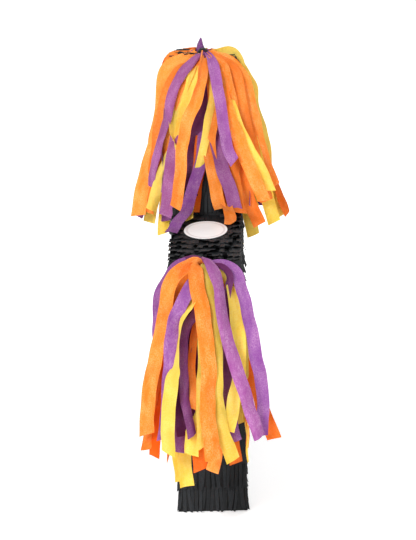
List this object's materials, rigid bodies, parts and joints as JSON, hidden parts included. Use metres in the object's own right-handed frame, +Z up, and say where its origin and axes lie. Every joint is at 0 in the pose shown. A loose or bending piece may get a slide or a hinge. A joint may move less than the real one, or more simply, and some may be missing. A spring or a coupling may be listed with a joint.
{
  "type": "pinata",
  "caption": "Flat five-pointed star pinata in black paper fringe, with crepe streamers on the top and the arms, a hanging loop and a filling flap.",
  "frame": {"origin": "on the ground, midway between the two feet and midway through the depth", "axes": "+Z up, X across the star, -Y out of the front face, +Y out of the back face with the filling flap"},
  "size_m": [0.6229, 0.1825, 0.4939],
  "materials": {
    "cardboard": "brown corrugated board",
    "paper_tape": "matte gummed kraft paper",
    "black_fringe": "matte black crepe paper cut into fringe",
    "stick_wood": "bare wood",
    "loop_wire": "steel wire in a black paper wrap",
    "label_paper": "semi-gloss white sticker, blank",
    "crepe_orange": "thin orange crepe paper",
    "crepe_purple": "thin purple crepe paper",
    "crepe_yellow": "thin yellow crepe paper",
    "tie_paper": "twisted purple crepe paper"
  },
  "bodies": {
    "root": {"front_panel": "cardboard", "back_panel": "cardboard", "top_arm_band": "cardboard", "right_arm_band": "cardboard", "left_arm_band": "cardboard", "right_leg_band": "cardboard", "left_leg_band": "cardboard", "inner_corner_tapes": "paper_tape", "front_edge_tape": "paper_tape", "back_edge_tape": "paper_tape", "front_fringe": "black_fringe", "back_fringe": "black_fringe", "top_arm_fringe": "black_fringe", "right_arm_fringe": "black_fringe", "left_arm_fringe": "black_fringe", "right_leg_fringe": "black_fringe", "left_leg_fringe": "black_fringe", "foot_covers": "black_fringe", "anchor_stick": "stick_wood", "label": "label_paper", "top_streamers_orange": "crepe_orange", "top_streamers_purple": "crepe_purple", "top_streamers_yellow": "crepe_yellow", "right_arm_streamers_orange": "crepe_orange", "right_arm_streamers_purple": "crepe_purple", "right_arm_streamers_yellow": "crepe_yellow", "left_arm_streamers_orange": "crepe_orange", "left_arm_streamers_purple": "crepe_purple", "left_arm_streamers_yellow": "crepe_yellow", "top_streamer_tie": "tie_paper", "right_arm_streamer_tie": "tie_paper", "left_arm_streamer_tie": "tie_paper"},
    "flap": {"fill_flap": "cardboard", "flap_fringe": "black_fringe"},
    "loop": {"hanging_loop": "loop_wire"}
  },
  "joints": [
    {"name": "flap_hinge", "type": "hinge", "parent": "root", "child": "flap", "pos_m": [0, 0.035, 0.23803], "axis": [1, 0, 0], "range_deg": [0, 105]},
    {"name": "loop_swing", "type": "hinge", "parent": "root", "child": "loop", "pos_m": [0, 0, 0.4671], "axis": [1, 0, 0], "range_deg": [-12, 12]}
  ]
}
